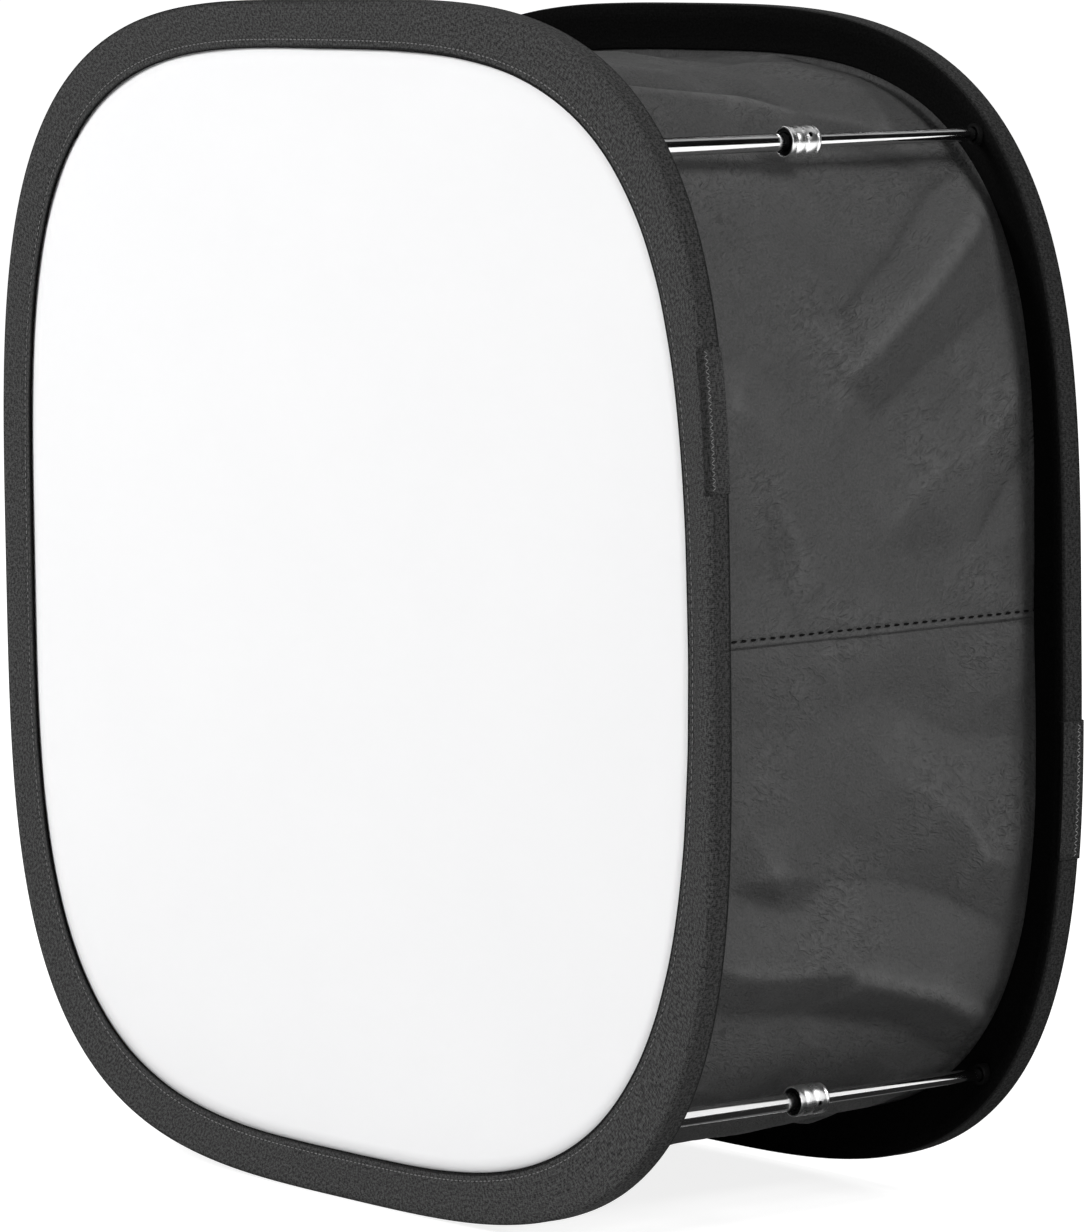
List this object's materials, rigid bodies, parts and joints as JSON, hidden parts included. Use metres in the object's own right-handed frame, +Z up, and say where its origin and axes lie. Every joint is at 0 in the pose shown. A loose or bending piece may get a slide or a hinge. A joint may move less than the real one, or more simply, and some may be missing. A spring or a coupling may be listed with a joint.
{
  "type": "softbox",
  "caption": "Collapsible softbox for a flat panel light: spring-hoop rims, white front cloth, black cloth tunnel, telescoping corner rods and a strapped rear opening.",
  "frame": {"origin": "under the middle of the standing box, straps included, level with the lowest point of the front rim", "axes": "+X to the right of someone facing the white front, +Y from the front cloth to the rear panel, +Z up"},
  "size_m": [0.4063, 0.1915, 0.406],
  "materials": {
    "rim_tape": "woven polyester tape, matte black",
    "white_cloth": "smooth white translucent cloth",
    "coated_cloth": "black coated cloth with a fine leather-like crinkle",
    "spring_steel": "flat spring-steel band",
    "bright_rod": "polished stainless tube",
    "silver_collar": "bright turned aluminium",
    "black_nylon": "black nylon",
    "webbing": "black woven webbing",
    "hook_and_loop": "black hook-and-loop tape",
    "elastic_binding": "black elastic binding"
  },
  "bodies": {
    "rear_frame": {"rear_hoop": "spring_steel", "rear_hoop_ferrule": "spring_steel", "rear_rim_sleeve": "rim_tape", "rear_splice_patch": "rim_tape", "rear_panel": "coated_cloth", "opening_binding": "elastic_binding", "tunnel_upper_panel": "coated_cloth", "tunnel_lower_panel": "coated_cloth", "rod_inner_1": "bright_rod", "rod_inner_2": "bright_rod", "rod_inner_3": "bright_rod", "rod_inner_4": "bright_rod", "rod_plug_1": "black_nylon", "rod_plug_2": "black_nylon", "rod_plug_3": "black_nylon", "rod_plug_4": "black_nylon", "rear_rod_seat_1": "black_nylon", "rear_rod_seat_2": "black_nylon", "rear_rod_seat_3": "black_nylon", "rear_rod_seat_4": "black_nylon", "strap_upper_anchor": "webbing", "strap_lower_anchor": "webbing", "loop_patch_upper": "hook_and_loop", "loop_patch_lower": "hook_and_loop"},
    "front_frame": {"front_hoop": "spring_steel", "front_hoop_ferrule": "spring_steel", "front_rim_sleeve": "rim_tape", "front_splice_patch": "rim_tape", "front_diffuser": "white_cloth", "front_rod_seat_1": "black_nylon", "front_rod_seat_2": "black_nylon", "front_rod_seat_3": "black_nylon", "front_rod_seat_4": "black_nylon", "rod_tube_1": "bright_rod", "rod_tube_2": "bright_rod", "rod_tube_3": "bright_rod", "rod_tube_4": "bright_rod", "rod_collet_1": "black_nylon", "rod_collet_2": "black_nylon", "rod_collet_3": "black_nylon", "rod_collet_4": "black_nylon"},
    "collar_1": {"rod_collar_1": "silver_collar"},
    "collar_2": {"rod_collar_2": "silver_collar"},
    "collar_3": {"rod_collar_3": "silver_collar"},
    "collar_4": {"rod_collar_4": "silver_collar"},
    "strap_upper": {"strap_upper": "webbing", "hook_pad_upper": "hook_and_loop"},
    "strap_lower": {"strap_lower": "webbing", "hook_pad_lower": "hook_and_loop"}
  },
  "joints": [
    {"name": "depth_slide", "type": "slide", "parent": "rear_frame", "child": "front_frame", "axis": [0, 1, 0], "range_m": [0, 0.054], "deforming": ["tunnel_upper_panel", "tunnel_lower_panel"]},
    {"name": "collar_1_twist", "type": "hinge", "parent": "front_frame", "child": "collar_1", "pos_m": [0.1571, -0.01985, 0.3601], "axis": [0, 1, 0], "range_deg": [0, 90]},
    {"name": "collar_2_twist", "type": "hinge", "parent": "front_frame", "child": "collar_2", "pos_m": [-0.1571, -0.01985, 0.3601], "axis": [0, 1, 0], "range_deg": [0, 90]},
    {"name": "collar_3_twist", "type": "hinge", "parent": "front_frame", "child": "collar_3", "pos_m": [-0.1571, -0.01985, 0.0459], "axis": [0, 1, 0], "range_deg": [0, 90]},
    {"name": "collar_4_twist", "type": "hinge", "parent": "front_frame", "child": "collar_4", "pos_m": [0.1571, -0.01985, 0.0459], "axis": [0, 1, 0], "range_deg": [0, 90]},
    {"name": "strap_upper_swing", "type": "hinge", "parent": "rear_frame", "child": "strap_upper", "pos_m": [-0.136, 0.06435, 0.258], "axis": [0, 0, 1], "range_deg": [0, 95]},
    {"name": "strap_lower_swing", "type": "hinge", "parent": "rear_frame", "child": "strap_lower", "pos_m": [-0.136, 0.06435, 0.148], "axis": [0, 0, 1], "range_deg": [0, 95]}
  ]
}
